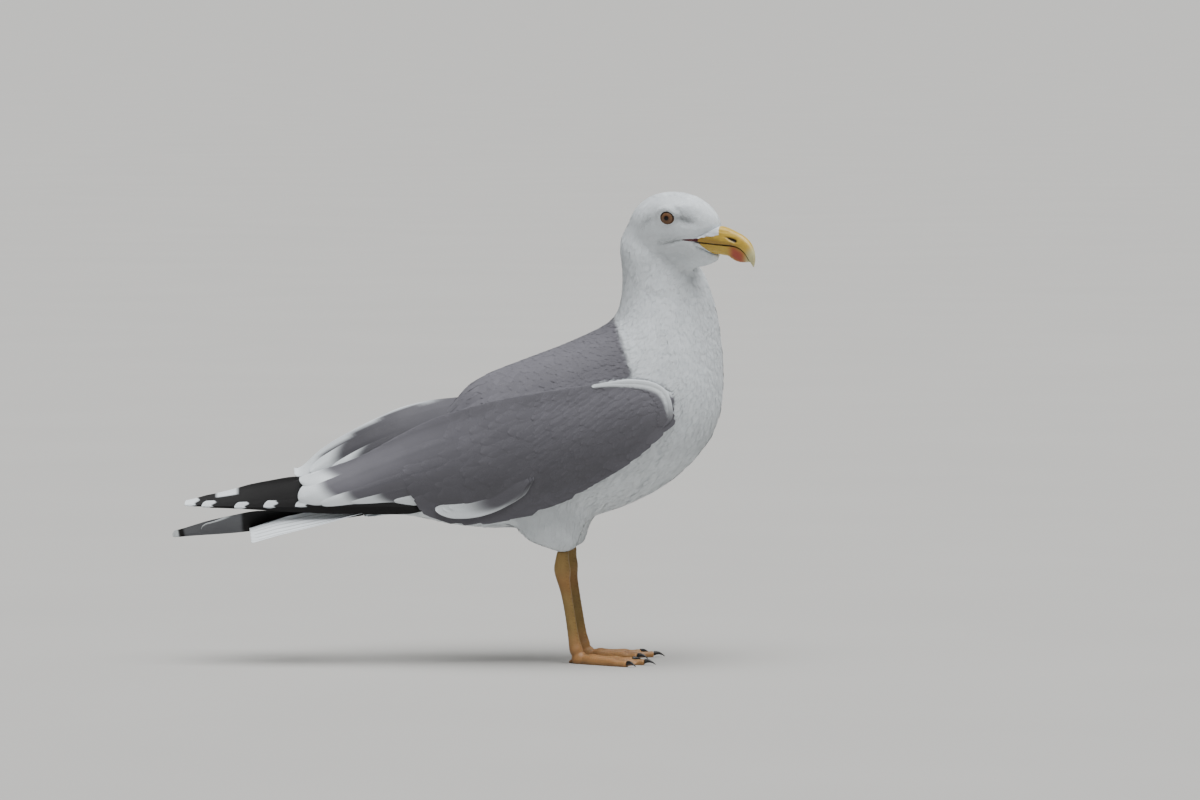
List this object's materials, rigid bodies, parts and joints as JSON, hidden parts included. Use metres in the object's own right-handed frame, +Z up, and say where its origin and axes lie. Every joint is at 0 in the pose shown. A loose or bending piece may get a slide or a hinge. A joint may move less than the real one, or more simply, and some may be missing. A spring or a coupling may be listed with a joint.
{
  "type": "standing gull",
  "caption": "Life-size yellow-legged gull standing with folded wings, its head turned to the side; white body, grey back and black wing tips.",
  "frame": {"origin": "floor level under the middle of the bounding box, between the wing tips and the bill", "axes": "+X towards the breast along the body, +Y to the bird's left, +Z up"},
  "size_m": [0.4526, 0.1338, 0.3683],
  "materials": {
    "white_plumage": "soft overlapping white feathers, matt",
    "grey_plumage": "soft overlapping mid-grey feathers with pale fringes on the longest ones, matt",
    "black_primaries": "stiff black flight feathers with white tips, faint sheen",
    "bill_horn": "yellow horn with a red spot near the tip of the lower half, satin",
    "eye": "wet, pale yellow iris and black pupil",
    "leg_skin": "yellow scaled skin, satin",
    "foot_skin": "yellow to flesh-orange scaled toes and webs, satin",
    "claw": "blackish horn, satin"
  },
  "bodies": {
    "root": {"head": "white_plumage", "bill_upper": "bill_horn", "bill_lower": "bill_horn", "neck": "white_plumage", "mantle": "grey_plumage", "trunk": "white_plumage", "tail": "white_plumage", "wing_right": "grey_plumage", "wing_left": "grey_plumage", "primaries_right": "black_primaries", "primaries_left": "black_primaries", "eye_right": "eye", "thigh_right": "white_plumage", "leg_right": "leg_skin", "foot_right": "foot_skin", "claw_right_inner": "claw", "claw_right_middle": "claw", "claw_right_outer": "claw", "eye_left": "eye", "thigh_left": "white_plumage", "leg_left": "leg_skin", "foot_left": "foot_skin", "claw_left_inner": "claw", "claw_left_middle": "claw", "claw_left_outer": "claw"}
  },
  "joints": []
}
